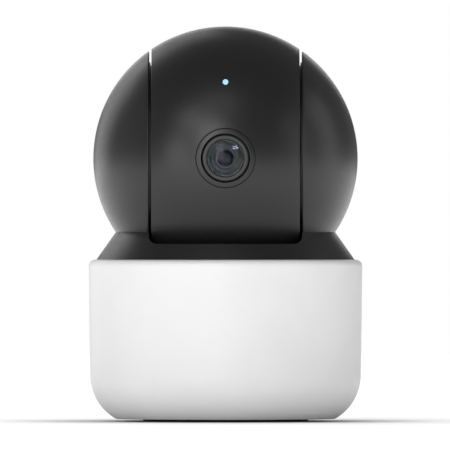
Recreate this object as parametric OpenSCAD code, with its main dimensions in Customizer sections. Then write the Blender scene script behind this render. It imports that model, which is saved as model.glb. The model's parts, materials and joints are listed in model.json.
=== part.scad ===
// Indoor pan-and-tilt security camera: a black ball head on a white round base.
// Millimetres, +Z up, lens towards -Y, origin at the centre of the underside.
// The ball is a tilting drum between two cheeks, and both turn on the base.

/* [Base] */
// Radius of the base at its widest
base_r = 39; // [38:0.5:48]
// How much narrower the base is above its bottom round
base_draft = 0.36; // [0:0.02:1]
// Height of the base's mouth above the table
base_h = 45.9; // [44:0.1:60]
// Thickness of the base's wall
base_wall = 1.9; // [1.2:0.1:2.4]
// Radius of the base's bottom round
bottom_round = 14; // [10:0.5:16]
// Radius of the round on the rim of the mouth
mouth_round = 1.9; // [1:0.1:2.4]
// Height of the shell's lower edge above the table
shell_lift = 0.5; // [0.3:0.1:1]
// Radius of the bottom cover
cover_r = 29.6; // [29:0.1:31]
// Thickness of the bottom cover
cover_t = 2; // [1.8:0.1:3]
// Inner radius of the rubber foot
foot_in_r = 17; // [12:0.5:18]
// Outer radius of the rubber foot
foot_out_r = 23.5; // [21:0.5:24]
// Thickness of the rubber foot
foot_t = 1.6; // [1.2:0.1:2]

/* [Head] */
// Radius of the ball
head_r = 37.7; // [37:0.1:46]
// Thickness of the ball's shells
shell_t = 1.8; // [1.4:0.1:2.2]
// Distance from the middle to the centre of each slot beside the drum
slot_x = 21.43; // [20:0.1:26]
// Width of each slot
slot_w = 0.7; // [0.6:0.05:0.9]
// Radius of the core that closes the slot, about the tilt axis
slot_core_r = 27.5; // [26.5:0.1:27.8]
// Height of the flared collar above the base's mouth
collar_h = 7.8; // [6:0.1:10]
// Depth from the base's mouth to the collar's floor
tub_depth = 9.9; // [8:0.1:11]
// Depth of the notch that the drum looks out of, below the neck
notch_h = 3.3; // [2:0.1:4]
// Radius of the notch's lower corners
notch_round = 2.3; // [1:0.1:3]
// How far the drum's rear shell starts behind the tilt axis
shell_split = 4; // [3:0.5:8]

/* [Lens] */
// Outer radius of the ring round the lens
bezel_r = 8.35; // [8:0.05:9]
// Inner radius of the ring round the lens
bezel_in_r = 6.95; // [6.8:0.05:7.2]
// Radius of the lens barrel's head
barrel_r = 6.55; // [6:0.05:6.7]
// Radius of the lens barrel's thread
thread_r = 6; // [5.6:0.05:6]
// Radius of the front glass
glass_r = 5.3; // [4.6:0.05:5.5]
// Radius of the aperture behind the front glass
iris_r = 2.4; // [1.6:0.1:2.8]
// Radius of the status light
led_r = 0.78; // [0.6:0.02:1]
// Height of the status light above the lens
led_up = 21.6; // [20:0.1:22]

/* [Drives] */
// Tooth size of the pan gears
pan_module = 1; // [0.8:0.05:1]
// Teeth of the pan gear
pan_teeth = 44; // [40:1:44]
// Tooth size of the tilt gears
tilt_module = 0.75; // [0.6:0.05:0.75]
// Teeth of the tilt gear
tilt_teeth = 34; // [30:1:34]
// Teeth of each motor's pinion
pinion_teeth = 12; // [12:1:14]
// Thickness of the pan gear
pan_gear_t = 5.3; // [4:0.1:6]
// Outer radius of the hollow spindle
spindle_r = 7.5; // [6.5:0.1:9]
// Radius of the spindle's bore
spindle_bore_r = 5.3; // [4:0.1:5.5]
// Radius of the pan motor
pan_motor_r = 10; // [9:0.5:10]
// Height of the pan motor
pan_motor_h = 17; // [14:0.5:17]
// Distance from the pan motor's middle to its shaft
pan_motor_offset = 6; // [5:0.5:7]
// Radius of the tilt motor
tilt_motor_r = 9; // [8:0.5:9]
// Length of the tilt motor
tilt_motor_h = 12; // [10:0.5:13]
// Distance from the tilt motor's middle to its shaft
tilt_motor_offset = 5; // [4:0.5:5]
// Radius of the pan motor's shaft
pan_shaft_r = 1.5; // [1.2:0.1:1.8]
// Radius of the tilt motor's shaft
tilt_shaft_r = 1.2; // [1:0.1:1.4]

/* [Tripod socket] */
// Radius of the threaded hole under the base
tripod_hole_r = 2.6; // [2.4:0.05:3]
// Length of the threaded insert
tripod_insert_h = 8; // [6:0.5:9]

/* [Rear panel] */
// Width of the recess round the power inlet
inlet_w = 12; // [10:0.5:13]
// Height of the recess round the power inlet
inlet_h = 7; // [6:0.5:8]
// Distance of the memory card from the middle
card_x = 12.5; // [12:0.5:13]
// Distance of the reset button from the middle
button_x = 12; // [11:0.5:13]
// Radius of the reset button
button_r = 1.4; // [1:0.1:1.8]
// Travel of the reset button
button_travel = 0.4; // [0.2:0.05:0.4]

/* [Clearances] */
// Gap round the collar in the base's mouth, and round the ball in the collar
run_gap = 0.4; // [0.3:0.05:0.6]
// Gap between the collar and the mouth of the base
mouth_gap = 0.3; // [0.2:0.05:0.5]
// Radial gap between a shaft and its bush
shaft_gap = 0.05; // [0.02:0.01:0.1]
// Gap round a piece that is dropped or pressed into place
fit_gap = 0.1; // [0.05:0.05:0.2]
// Radius of every screw's thread
screw_r = 1; // [0.8:0.1:1.2]
// Radius of every screw's head
screw_head_r = 1.9; // [1.6:0.1:2]

/* [Hidden] */
$fn = 96;

// Colours
white_plastic = [0.93, 0.93, 0.93];
black_plastic = [0.13, 0.13, 0.135];
grey_plastic = [0.35, 0.36, 0.38];
nylon = [0.88, 0.86, 0.78];
steel = [0.7, 0.71, 0.73];
brass = [0.78, 0.62, 0.3];
rubber = [0.2, 0.2, 0.2];
board_green = [0.1, 0.35, 0.2];
chip_black = [0.08, 0.08, 0.09];

// Heights of the base, from the table up
round_share = 0.883;
round_z = shell_lift + round_share * bottom_round;
low_r = base_r - base_draft;
arc_x = low_r - bottom_round;
cover_z = shell_lift + 0.2;
cover_top = cover_z + cover_t;
mouth_r = base_r - base_wall;
inner_r = low_r - base_wall;
board_gap = 4.8;
board_z = cover_top + board_gap;
board_t = 1.6;
board_top = board_z + board_t;

// Heights of the pan drive, from the mouth down
floor_t = 2;
floor_top = base_h - tub_depth;
floor_z = floor_top - floor_t;
gear_z = floor_z - pan_gear_t;
thrust_gap = 0.2;
flange_t = 0.8;
deck_top = gear_z - thrust_gap - flange_t;
deck_t = 2;
deck_z = deck_top - deck_t;
hub_z = deck_z - 2;
clip_gap = 0.3;
clip_t = 0.8;
clip_z = hub_z - clip_gap - clip_t;
spindle_z = clip_z - 1.2;
bush_t = 1.5;
bush_r = spindle_r + bush_t;
hub_r = bush_r + 2;
pan_centre = pan_module * (pan_teeth + pinion_teeth) / 2;
pan_motor_y = -(pan_centre - pan_motor_offset);
pinion_h = 4.2;

// Posts that carry the deck and the bottom cover
post_r = 3;
post_at = cover_r - 2.1;
post_angles = [30, 150, 225, 315];

// The ball and its drum
head_z = floor_top + 1 + head_r;
inner_ball = head_r - shell_t;
drum_x = slot_x - slot_w / 2;
cheek_x = slot_x + slot_w / 2;
neck_z = base_h + collar_h;
neck_r = sqrt(pow(head_r, 2) - pow(head_z - neck_z, 2));
collar_r = mouth_r - mouth_gap;
notch_z = neck_z - notch_h;
plate_t = 1.8;
arm_t = 1.8;
land = 0.4;
arm_land_w = 0.6;
drum_land_w = 1.2;
drum_land_r = slot_core_r - arm_land_w - 0.3;

// The tilt drive
tilt_centre = tilt_module * (tilt_teeth + pinion_teeth) / 2;
dish_in_r = tilt_centre + tilt_module * (pinion_teeth / 2 + 1) + 0.8;
dish_out_r = slot_core_r - 2.3;
dish_depth = 6;
dish_x = drum_x - dish_depth;
dish_floor_t = 1.8;
trunnion_r = 5;
trunnion_bore_r = 3.4;
stub_r = 3;
stub_bush_r = stub_r + 1.6;
seat_r = inner_ball - 7.4;
tilt_motor_angle = -30;
tilt_motor_at = tilt_centre - tilt_motor_offset;

// The lens, boards and light inside the drum, measured back from the ball's front
barrel_front = head_r - 0.8;
ir_y = 10.7 - head_r;
ir_t = 1;
sensor_y = 19.7 - head_r;
main_y = sensor_y + 7;
stack_t = 1.2;
board_left = plate_t + 1.78 - drum_x;
board_right = dish_x - dish_floor_t - 0.08;
stack_points = [
  for (x = [board_left + 2.5, board_right - 2.4], z = [-13, 13]) [x, z]
];
ir_led_at = 14;

// ---- Shared shapes ----

module at_head() {
  translate([0, 0, head_z]) children();
}

// Turns something drawn along +Z to point along +X
module along_x() {
  rotate([90, 0, 90]) children();
}

// Turns something drawn along +Z to point along +Y, with its own Y up
module along_y() {
  rotate([90, 0, 180]) children();
}

module ring(out_r, in_r, h) {
  difference() {
    cylinder(h = h, r = out_r);
    translate([0, 0, -1]) cylinder(h = h + 2, r = in_r);
  }
}

module rounded_rect(w, h, r) {
  square([w - 2 * r, h], center = true);
  square([w, h - 2 * r], center = true);
  for (x = [-1, 1], y = [-1, 1]) {
    translate([x * (w / 2 - r), y * (h / 2 - r)]) circle(r = r);
  }
}

module box(x, y, z) {
  translate([x[0], y[0], z[0]]) cube([x[1] - x[0], y[1] - y[0], z[1] - z[0]]);
}

// A screw that points up, with the underside of its head at z = 0
module screw(length, head_h = 1.2) {
  difference() {
    union() {
      translate([0, 0, -head_h]) cylinder(h = head_h, r = screw_head_r);
      cylinder(h = length, r = screw_r);
    }
    for (a = [0, 90]) {
      translate([0, 0, -head_h - 1]) rotate(a) {
        translate([-screw_head_r * 0.6, -0.25, 0]) cube([screw_head_r * 1.2, 0.5, 1.6]);
      }
    }
  }
}

// Involute gear teeth, 25 degree pressure angle, with a little backlash
pressure = 25;
backlash = 0.12;
function inv(a) = tan(a) * 180 / PI - a;
function half_tooth(r, teeth, m) =
  let (pitch = m * teeth / 2, base = pitch * cos(pressure))
  90 / teeth - backlash / (2 * pitch) * 180 / PI + inv(pressure)
  - (r > base ? inv(acos(base / r)) : 0);
function flank_radii(teeth, m) =
  let (pitch = m * teeth / 2, root = pitch - 1.2 * m, base = pitch * cos(pressure))
  [root, max(root + 0.02, base), pitch, pitch + 0.45 * m, pitch + 0.9 * m];

module gear_outline(teeth, m) {
  radii = flank_radii(teeth, m);
  last = len(radii) - 1;
  polygon([
    for (i = [0 : teeth - 1], side = [-1, 1], k = [0 : last])
      let (r = radii[side < 0 ? k : last - k])
      let (a = i * 360 / teeth + side * half_tooth(r, teeth, m))
      [r * cos(a), r * sin(a)]
  ]);
}

module gear(teeth, m, h, bore_r) {
  difference() {
    linear_extrude(h) gear_outline(teeth, m);
    translate([0, 0, -1]) cylinder(h = h + 2, r = bore_r);
  }
}

module at_posts() {
  for (a = post_angles) rotate(a) translate([post_at, 0, 0]) children();
}

// ---- Base ----

// Half outline of the base, drawn in by inset, from its bottom round to the top of the wall
module base_outline(inset, top) {
  translate([arc_x, round_z]) intersection() {
    circle(r = bottom_round - inset);
    translate([0, -bottom_round]) square([bottom_round, bottom_round]);
  }
  translate([0, shell_lift + inset]) square([arc_x, round_z - shell_lift - inset]);
  polygon([
    [0, round_z], [low_r - inset, round_z], [base_r - inset, base_h - mouth_round],
    [base_r - inset, top], [0, top]
  ]);
}

module base_solid() {
  rotate_extrude() intersection() {
    union() {
      base_outline(0, base_h - mouth_round);
      translate([base_r - mouth_round, base_h - mouth_round]) circle(r = mouth_round);
      translate([0, base_h - mouth_round]) square([base_r - mouth_round, mouth_round]);
    }
    translate([0, shell_lift]) square([base_r + 1, base_h]);
  }
}

module base_hollow() {
  rotate_extrude() base_outline(base_wall, base_h + 1);
}

module inlet_hole(w, h, r, length) {
  along_y() linear_extrude(length) rounded_rect(w, h, r);
}

usb_z = board_top + 1.6;
card_z = board_top + 0.95;
rear_y = sqrt(pow(inner_r, 2) - pow(button_x, 2));
speaker_z = board_top + 10.7;
speaker_w = 20;
speaker_h = 10;
speaker_t = 4;
speaker_y = sqrt(pow(inner_r, 2) - pow(speaker_w / 2, 2)) - 1;

module base_shell() color(white_plastic) {
  difference() {
    union() {
      difference() {
        base_solid();
        base_hollow();
      }
      // Posts for the screws, each tied to the wall by a rib
      at_posts() {
        translate([0, 0, cover_top]) cylinder(h = deck_z - cover_top, r = post_r);
        translate([0, -1.2, round_z + 1]) {
          cube([inner_r + base_wall / 2 - post_at, 2.4, deck_z - round_z - 1]);
        }
      }
    }
    translate([0, 0, shell_lift - 1]) {
      cylinder(h = cover_top - shell_lift + 1, r = cover_r + fit_gap);
    }
    at_posts() {
      translate([0, 0, cover_top - 1]) cylinder(h = 9, r = screw_r);
      translate([0, 0, deck_z - 8]) cylinder(h = 9, r = screw_r);
    }
    translate([0, 20, usb_z]) inlet_hole(inlet_w, inlet_h, 1.5, base_r);
    translate([-card_x, 20, card_z]) inlet_hole(12.4, 1.9, 0.5, base_r);
    translate([button_x, 20, usb_z]) along_y() cylinder(h = base_r, r = button_r + fit_gap);
    for (i = [-3 : 3]) {
      translate([i * speaker_w / 8, 20, speaker_z]) {
        inlet_hole(1.2, speaker_h * 0.7, 0.55, base_r);
      }
    }
  }
}

module board_standoffs() {
  for (p = board_points) translate([p[0], p[1], 0]) children();
}
board_points = [[-12, 11], [12, 11], [0, 20.5]];

insert_r = 4.5;
module bottom_cover() color(white_plastic) {
  difference() {
    union() {
      translate([0, 0, cover_z]) cylinder(h = cover_t, r = cover_r);
      translate([0, 0, cover_z]) cylinder(h = tripod_insert_h + 1, r = insert_r + 2);
      board_standoffs() {
        translate([0, 0, cover_top - 0.5]) cylinder(h = board_z - cover_top + 0.5, r = 2.4);
      }
    }
    translate([0, 0, cover_z - 1]) {
      ring(foot_out_r + fit_gap, foot_in_r - fit_gap, foot_t - cover_z + 1);
    }
    translate([0, 0, cover_z - 1]) cylinder(h = tripod_insert_h + 1, r = insert_r);
    at_posts() {
      translate([0, 0, cover_z - 1]) cylinder(h = cover_t + 2, r = screw_r + fit_gap);
      translate([0, 0, cover_z - 1]) cylinder(h = 2.2, r = screw_head_r + fit_gap);
    }
    board_standoffs() translate([0, 0, board_z - 5]) cylinder(h = 6, r = screw_r);
  }
}

module foot_ring() color(rubber) {
  ring(foot_out_r, foot_in_r, foot_t);
}

module tripod_insert() color(brass) {
  translate([0, 0, cover_z]) difference() {
    cylinder(h = tripod_insert_h, r = insert_r);
    translate([0, 0, -1]) cylinder(h = tripod_insert_h + 2, r = tripod_hole_r);
    for (z = [0.3, 0.65]) {
      translate([0, 0, z * tripod_insert_h]) ring(insert_r + 1, insert_r - 0.5, 1);
    }
  }
}

module cover_screws() color(steel) {
  at_posts() translate([0, 0, cover_z + 1.2]) screw(7);
}

module pan_deck() color(grey_plastic) {
  difference() {
    union() {
      translate([0, 0, deck_z]) cylinder(h = deck_t, r = inner_r - 0.3);
      translate([0, 0, hub_z]) cylinder(h = deck_top - hub_z, r = hub_r);
    }
    translate([0, 0, hub_z - 1]) cylinder(h = deck_top, r = bush_r);
    translate([0, -pan_centre, deck_z - 1]) cylinder(h = deck_t + 2, r = 4);
    at_posts() {
      translate([0, 0, deck_z - 1]) cylinder(h = deck_t + 2, r = screw_r + fit_gap);
      translate([0, 0, deck_top - 1.2]) cylinder(h = 2, r = screw_head_r + fit_gap);
    }
    pan_motor_ears() translate([0, 0, deck_z - 1]) cylinder(h = deck_t + 0.6, r = screw_r);
    translate([0, 28, deck_z - 1]) linear_extrude(deck_t + 2) rounded_rect(14, 6, 2);
  }
}

module deck_screws() color(steel) {
  at_posts() translate([0, 0, deck_top - 1.2]) mirror([0, 0, 1]) screw(7);
}

module pan_bush() color(nylon) {
  difference() {
    union() {
      translate([0, 0, hub_z]) cylinder(h = deck_top - hub_z, r = bush_r);
      translate([0, 0, deck_top]) cylinder(h = flange_t, r = hub_r);
    }
    translate([0, 0, hub_z - 1]) cylinder(h = gear_z, r = spindle_r + shaft_gap);
  }
}

ear_t = 0.8;
ear_x = pan_motor_r + 3;
module pan_motor_ears() {
  for (s = [-1, 1]) translate([s * ear_x, pan_motor_y, 0]) children();
}

module pan_motor() color(steel) {
  can_z = deck_z - pan_motor_h;
  difference() {
    union() {
      translate([0, pan_motor_y, can_z]) cylinder(h = pan_motor_h, r = pan_motor_r);
      translate([0, pan_motor_y, deck_z - ear_t]) {
        linear_extrude(ear_t) rounded_rect(2 * ear_x + 6, 6, 2.9);
      }
      translate([0, -pan_centre, deck_z - 1]) cylinder(h = deck_t + 1, r = 3.8);
      translate([0, pan_motor_y + pan_motor_r, can_z]) box([-4, 4], [-2, 2], [2, 8]);
    }
    translate([0, -pan_centre, deck_z - 7]) cylinder(h = 12, r = pan_shaft_r + shaft_gap);
    pan_motor_ears() translate([0, 0, deck_z - 2]) cylinder(h = 4, r = screw_r + fit_gap);
  }
}

module pan_motor_screws() color(steel) {
  pan_motor_ears() translate([0, 0, deck_z - ear_t]) screw(ear_t + 1.5);
}

module pan_shaft() color(steel) {
  translate([0, -pan_centre, deck_z - 6.8]) {
    cylinder(h = gear_z + pinion_h - deck_z + 6.8, r = pan_shaft_r);
  }
}

module pan_pinion() color(nylon) {
  translate([0, -pan_centre, gear_z]) rotate(90 + 180 / pinion_teeth) {
    gear(pinion_teeth, pan_module, pinion_h, pan_shaft_r);
  }
}

module base_board() color(board_green) {
  notch_half = button_r + 1.2;
  translate([0, 0, board_z]) difference() {
    intersection() {
      box([-19.5, 19.5], [8, inner_r - 3.74], [0, board_t]);
      translate([0, 0, -1]) cylinder(h = board_t + 2, r = inner_r - 1.8);
    }
    // Notch that the reset button's flange moves in
    box([button_x - notch_half, button_x + notch_half], [switch_y, base_r], [-1, board_t + 1]);
    board_standoffs() translate([0, 0, -1]) cylinder(h = board_t + 2, r = screw_r + fit_gap);
  }
}

module board_screws() color(steel) {
  board_standoffs() translate([0, 0, board_top]) mirror([0, 0, 1]) screw(5);
}

usb_w = 8.9;
usb_h = 3.2;
usb_y = inner_r - 10.74;
usb_l = 7.3;
module usb_socket() color(steel) {
  translate([0, usb_y, usb_z]) along_y() {
    difference() {
      linear_extrude(usb_l) rounded_rect(usb_w, usb_h, 1.5);
      translate([0, 0, 1]) linear_extrude(usb_l) rounded_rect(usb_w - 0.6, usb_h - 0.6, 1.2);
    }
    translate([0, 0, 0.5]) linear_extrude(usb_l - 1.5) square([usb_w - 2.2, 0.7], center = true);
  }
}

card_w = 11;
card_l = 15;
card_t = 0.9;
card_y = inner_r - 17.84;
module card_socket() color(steel) {
  difference() {
    box([-card_x - 6.5, -card_x + 6.5], [card_y - 1.4, card_y + 11.5], [board_top, board_top + 1.9]);
    translate([-card_x, 0, card_z]) {
      box([-card_w / 2 - 0.1, card_w / 2 + 0.1], [card_y - 0.1, base_r], [-0.55, 0.55]);
    }
  }
}

module memory_card() color(chip_black) {
  translate([-card_x, card_y, card_z - card_t / 2]) difference() {
    box([-card_w / 2, card_w / 2], [0, card_l], [0, card_t]);
    translate([card_w / 2 - 1.3, -1, -1]) cube([2, 6, card_t + 2]);
    translate([-3, card_l - 1.4, card_t - 0.25]) cube([6, 0.7, 1]);
  }
}

switch_y = rear_y - 3.6;
module reset_switch() color(grey_plastic) {
  translate([button_x, 0, 0]) {
    box([-3, 3], [switch_y - 4.5, switch_y - 0.6], [board_top, board_top + 3.4]);
    translate([0, switch_y - 1, usb_z]) along_y() cylinder(h = 1, r = 1);
  }
}

module reset_button() color(grey_plastic) {
  face_y = sqrt(pow(low_r, 2) - pow(button_x + button_r, 2));
  translate([button_x, switch_y + button_travel + 0.1, usb_z]) along_y() {
    cylinder(h = face_y - switch_y - button_travel - 0.1, r = button_r);
    translate([0, 0, 0.9]) cylinder(h = 0.8, r = button_r + 0.8);
  }
}

module speaker() color(chip_black) {
  translate([0, speaker_y - speaker_t, speaker_z]) along_y() {
    linear_extrude(speaker_t - 0.8) rounded_rect(speaker_w, speaker_h, 2);
    translate([0, 0, speaker_t - 1]) {
      linear_extrude(1) difference() {
        rounded_rect(speaker_w, speaker_h, 2);
        rounded_rect(speaker_w - 3, speaker_h - 3, 1.5);
      }
    }
  }
}

module speaker_gasket() color(rubber) {
  intersection() {
    translate([0, speaker_y, speaker_z]) along_y() linear_extrude(6) difference() {
      rounded_rect(speaker_w, speaker_h, 2);
      rounded_rect(speaker_w - 3, speaker_h - 3, 1.5);
    }
    cylinder(h = base_h, r = inner_r - 0.05);
  }
}

module base_lead() color(nylon) {
  lead_w = 6;
  box([-lead_w / 2, lead_w / 2], [-0.2, 0.2], [board_top + 2.2, spindle_z - 1.4]);
  box([-lead_w / 2, lead_w / 2], [-0.2, 12], [board_top + 1.8, board_top + 2.2]);
  box([-lead_w / 2 - 1, lead_w / 2 + 1], [12, 16], [board_top, board_top + 2.5]);
}

// ---- Head: the yoke that pans ----

module collar_outline() {
  wall = base_wall;
  lip = 1.9;
  polygon([
    [collar_r, floor_z], [collar_r, base_h], [neck_r, neck_z], [neck_r - lip, neck_z],
    [neck_r - lip, neck_z - 1.3], [collar_r - wall, base_h - 0.8], [collar_r - wall, floor_z]
  ]);
}

module notch() {
  notch_w = 2 * cheek_x;
  translate([0, -base_r, notch_z + 20]) along_y() {
    linear_extrude(2 * base_r) rounded_rect(notch_w, 40, notch_round);
  }
}

gear_screw_at = 14;
gear_screw_angles = [0, 120, 240];
arm_foot_y = 8.5;
arm_foot_half = 3.4;
arm_foot_end = sqrt(pow(collar_r - base_wall, 2) - pow(arm_foot_y + arm_foot_half, 2)) - 2.53;
arm_foot_x = cheek_x + (arm_foot_end - cheek_x) * 0.647;
module at_arm_screws() {
  for (x = [-1, 1], y = [-1, 1]) translate([x * arm_foot_x, y * arm_foot_y, 0]) children();
}

cable_w = 6;
cable_t = 0.35;
cheek_in_x = sqrt(pow(inner_ball, 2) - pow(head_z - neck_z, 2));
cable_x = -(cheek_x + arm_t + (cheek_in_x - cheek_x - arm_t) * 0.79);
cable_z = floor_top - 0.7;
module collar() color(black_plastic) {
  difference() {
    union() {
      difference() {
        rotate_extrude() collar_outline();
        notch();
      }
      // Ledge that closes the notch round the ball
      intersection() {
        rotate_extrude() difference() {
          translate([neck_r - 5, notch_z - 1.8]) square([6.2, 1.8]);
          translate([0, head_z]) circle(r = head_r + run_gap);
        }
        box([-cheek_x - 1, cheek_x + 1], [-base_r, base_r], [floor_top, neck_z]);
        rotate_extrude() polygon([
          [0, floor_z], [collar_r, floor_z], [collar_r, base_h], [neck_r, neck_z], [0, neck_z]
        ]);
      }
      translate([0, 0, floor_z]) cylinder(h = floor_t, r = collar_r);
      translate([0, 0, spindle_z]) cylinder(h = floor_top - spindle_z, r = spindle_r);
    }
    translate([0, 0, spindle_z - 1]) cylinder(h = base_h, r = spindle_bore_r);
    translate([0, 0, clip_z - 0.1]) ring(spindle_r + 1, spindle_r - 0.9, clip_t + 0.2);
    for (a = gear_screw_angles) rotate(a) translate([gear_screw_at, 0, floor_z - 1]) {
      cylinder(h = 2.6, r = screw_r);
    }
    at_arm_screws() {
      translate([0, 0, floor_z - 1]) cylinder(h = floor_t + 2, r = screw_r + fit_gap);
      translate([0, 0, floor_z - 1]) cylinder(h = 2.2, r = screw_head_r + fit_gap);
    }
    box([cable_x - 1, 0], [-cable_w / 2 - 0.3, cable_w / 2 + 0.3], [cable_z - 0.2, floor_top + 1]);
  }
}

module pan_gear() color(nylon) {
  difference() {
    translate([0, 0, gear_z]) rotate(-90) {
      gear(pan_teeth, pan_module, pan_gear_t, spindle_r + fit_gap);
    }
    for (a = gear_screw_angles) rotate(a) translate([gear_screw_at, 0, gear_z - 1]) {
      cylinder(h = pan_gear_t + 2, r = screw_r + fit_gap);
      cylinder(h = 2.8, r = screw_head_r + fit_gap);
    }
  }
}

module gear_screws() color(steel) {
  for (a = gear_screw_angles) rotate(a) translate([gear_screw_at, 0, gear_z + 1.8]) {
    screw(pan_gear_t - 0.3);
  }
}

module spindle_clip() color(steel) {
  translate([0, 0, clip_z]) difference() {
    ring(spindle_r + 1.8, spindle_r - 0.85, clip_t);
    translate([0, -3, -1]) cube([base_r, 6, clip_t + 2]);
  }
}

// One side wall of the yoke, drawn on the +X side
module arm(bore_r) {
  difference() {
    union() {
      at_head() along_x() rotate_extrude() {
        intersection() {
          translate([0, cheek_x]) square([head_r, arm_t]);
          circle(r = inner_ball - fit_gap);
        }
        // Land that closes the slot
        translate([slot_core_r - arm_land_w, cheek_x - land]) square([arm_land_w, land + 0.5]);
      }
      box([cheek_x, cheek_x + arm_t], [-12, 12], [floor_top, head_z - bore_r - 6]);
      for (s = [-1, 1]) {
        foot_y = [s * arm_foot_y - arm_foot_half, s * arm_foot_y + arm_foot_half];
        box([cheek_x, arm_foot_end], foot_y, [floor_top, floor_top + 3.4]);
      }
    }
    translate([cheek_x - 1, 0, head_z]) along_x() cylinder(h = arm_t + 2, r = bore_r);
    at_arm_screws() translate([0, 0, floor_top - 1]) cylinder(h = 4, r = screw_r);
  }
}

bush_out_r = trunnion_r + 1.4;
spigot_r = 4.5;
module left_arm() color(black_plastic) {
  mirror([1, 0, 0]) arm(bush_out_r);
}

module right_arm() color(black_plastic) {
  arm(spigot_r + shaft_gap);
}

module arm_screws() color(steel) {
  at_arm_screws() translate([0, 0, floor_z + 1.2]) screw(3.6);
}

// One outer shell of the yoke, drawn on the +X side
module cheek() {
  intersection() {
    at_head() difference() {
      sphere(r = head_r);
      sphere(r = inner_ball);
    }
    box([cheek_x, head_r + 1], [-2 * head_r, 2 * head_r], [neck_z + 0.05, head_z + head_r + 1]);
  }
}

module left_cheek() color(black_plastic) {
  mirror([1, 0, 0]) cheek();
}

module right_cheek() color(black_plastic) {
  cheek();
}

module left_bush() color(nylon) {
  translate([-cheek_x - arm_t - 1, 0, head_z]) along_x() {
    difference() {
      union() {
        cylinder(h = arm_t + 1, r = bush_out_r);
        cylinder(h = 1, r = bush_out_r + 1.6);
      }
      translate([0, 0, -1]) cylinder(h = arm_t + 4, r = trunnion_r + shaft_gap);
    }
  }
}

module tilt_gear() color(nylon) {
  gear_x = dish_x + 1;
  gear_t = 4;
  translate([0, 0, head_z]) along_x() {
    // Teeth, then the hub that is keyed into the arm, then the stub for the drum's bush
    translate([0, 0, gear_x]) rotate(tilt_motor_angle) {
      gear(tilt_teeth, tilt_module, gear_t, 0.5);
    }
    translate([0, 0, gear_x + gear_t - 0.1]) cylinder(h = cheek_x - gear_x - gear_t + 0.1, r = 8);
    translate([0, 0, gear_x + 1]) cylinder(h = cheek_x + arm_t - gear_x - 1, r = spigot_r);
    translate([0, 0, dish_x - dish_floor_t]) cylinder(h = 4, r = stub_r);
  }
}

module flex_cable() color(nylon) {
  y = [-cable_w / 2, cable_w / 2];
  box([-cable_t / 2, cable_t / 2], y, [spindle_z - 1, cable_z + cable_t]);
  box([cable_x, 0], y, [cable_z, cable_z + cable_t]);
  box([cable_x, cable_x + cable_t], y, [cable_z, head_z + cable_t]);
  box([cable_x, -drum_x + 3], y, [head_z, head_z + cable_t]);
}

// ---- Head: the drum that tilts ----

// The drum's whole shell about the tilt axis: a slice of the ball, with a seat inside for each plate
module drum_shell() {
  seat_x = drum_x - plate_t - fit_gap - 1.2;
  at_head() along_x() rotate_extrude() {
    difference() {
      translate([0, -drum_x]) square([head_r, 2 * drum_x]);
      circle(r = inner_ball);
      difference() {
        translate([0, -head_r - 1]) square([head_r + 1, 2 * head_r + 2]);
        circle(r = head_r);
      }
    }
    for (s = [-1, 1]) intersection() {
      translate([seat_r, s * (seat_x + 0.6) - 0.6]) square([8, 1.2]);
      circle(r = inner_ball + 0.3);
    }
  }
}

module front_shell() color(black_plastic) {
  difference() {
    union() {
      drum_shell();
      // Bosses for the boards, stepped to seat the infrared board
      at_head() intersection() {
        for (p = stack_points) translate([p[0], 0, p[1]]) {
          translate([0, -head_r, 0]) along_y() cylinder(h = head_r + sensor_y, r = 2);
          translate([0, -head_r, 0]) along_y() cylinder(h = head_r + ir_y, r = 3);
        }
        sphere(r = inner_ball + 0.3);
      }
    }
    at_head() {
      box([-2 * head_r, 2 * head_r], [shell_split, 2 * head_r], [-2 * head_r, 2 * head_r]);
      translate([0, -head_r - 1, 0]) along_y() cylinder(h = 8, r = bezel_r + fit_gap);
      translate([0, -head_r - 1, led_up]) along_y() cylinder(h = 12, r = led_r + fit_gap / 2);
      for (p = stack_points) translate([p[0], sensor_y - 8, p[1]]) {
        along_y() cylinder(h = 9, r = screw_r);
      }
    }
  }
}

module rear_shell() color(black_plastic) {
  difference() {
    drum_shell();
    at_head() {
      box([-2 * head_r, 2 * head_r], [-2 * head_r, shell_split + 0.05], [-2 * head_r, 2 * head_r]);
    }
  }
}

// Half outline of a side plate about the tilt axis, from in_r out to the shell
module side_disc(in_r) {
  intersection() {
    translate([in_r, drum_x - plate_t]) square([head_r, plate_t]);
    circle(r = inner_ball - fit_gap);
  }
}

module left_plate() color(black_plastic) {
  at_head() mirror([1, 0, 0]) along_x() rotate_extrude() {
    side_disc(trunnion_bore_r);
    translate([drum_land_r - drum_land_w, drum_x - 0.5]) square([drum_land_w, land + 0.5]);
    translate([trunnion_bore_r, drum_x - 0.5]) {
      square([trunnion_r - trunnion_bore_r, cheek_x + arm_t + 2 - drum_x + 0.5]);
    }
  }
}

module at_tilt_motor() {
  rotate([tilt_motor_angle, 0, 0]) translate([0, tilt_motor_at, 0]) children();
}

module at_tilt_shaft() {
  rotate([tilt_motor_angle, 0, 0]) translate([0, tilt_centre, 0]) children();
}

tilt_ear = tilt_motor_r + 2.4;
module at_tilt_ears() {
  at_tilt_motor() for (s = [-1, 1]) translate([0, 0, s * tilt_ear]) children();
}

module right_plate() color(black_plastic) {
  at_head() difference() {
    along_x() rotate_extrude() {
      side_disc(dish_in_r);
      translate([dish_in_r, dish_x - dish_floor_t]) {
        square([dish_out_r - dish_in_r, dish_depth + dish_floor_t]);
      }
      translate([drum_land_r - drum_land_w, drum_x - 0.5]) square([drum_land_w, land + 0.5]);
      translate([stub_bush_r, dish_x - dish_floor_t]) {
        square([dish_out_r - stub_bush_r, dish_floor_t]);
      }
    }
    at_tilt_shaft() translate([dish_x - 5, 0, 0]) along_x() cylinder(h = 8, r = 2.6);
    at_tilt_ears() translate([dish_x - 5, 0, 0]) along_x() cylinder(h = 8, r = screw_r);
  }
}

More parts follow.
